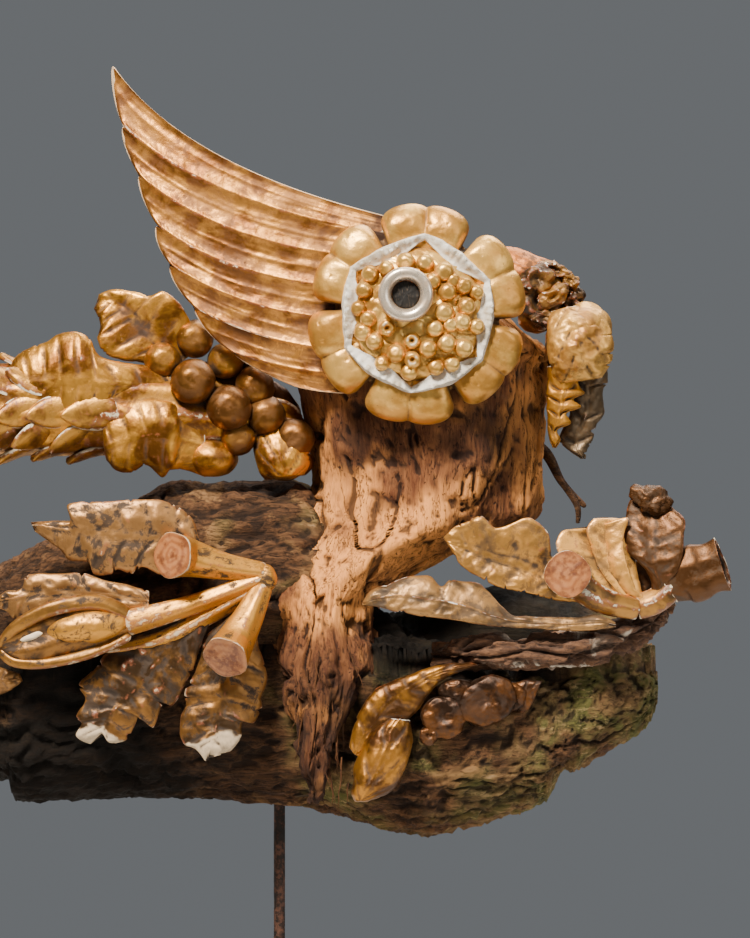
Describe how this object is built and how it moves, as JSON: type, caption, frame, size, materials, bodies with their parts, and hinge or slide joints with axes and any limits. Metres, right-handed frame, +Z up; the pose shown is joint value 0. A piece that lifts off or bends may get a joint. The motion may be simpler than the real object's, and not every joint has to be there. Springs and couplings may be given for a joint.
{
  "type": "wooden fish sculpture",
  "caption": "Fish made of old gilded carvings, a wing for its fin and a rosette for its eye, on weathered logs held up by an iron rod with a flat foot.",
  "frame": {"origin": "centre of the foot's underside, straight below the rod", "axes": "+X right, from the tail to the snout; -Y towards the viewer, the decorated face; +Z up along the rod"},
  "size_m": [0.621, 0.2239, 0.6861],
  "materials": {
    "iron": "dark, lightly rusted",
    "bark": "rough bark with moss and decay",
    "trunk_wood": "weathered, split, bare wood",
    "wing_gold": "rubbed coppery gilding",
    "satin_gold": "satin gilding over white ground",
    "burnished_gold": "burnished gilding, worn to red clay and white ground",
    "aged_gold": "dulled brown gilding with chipped white edges",
    "polished_steel": "polished",
    "pupil_black": "dark fibrous"
  },
  "bodies": {
    "root": {"foot_plate": "iron", "rod": "iron", "jaw_log": "bark", "head_trunk": "trunk_wood", "wing_fin": "wing_gold", "rosette": "satin_gold", "eye_ring": "polished_steel", "eye_pupil": "pupil_black", "garland": "burnished_gold", "leaf_spray_left": "aged_gold", "leaf_spray_right": "aged_gold", "lip_leaf": "aged_gold", "crown_scroll": "aged_gold", "snout_leaves": "satin_gold", "bud_sprig": "satin_gold", "clover_lobes": "aged_gold", "side_leaf": "aged_gold", "twig": "bark"}
  },
  "joints": []
}
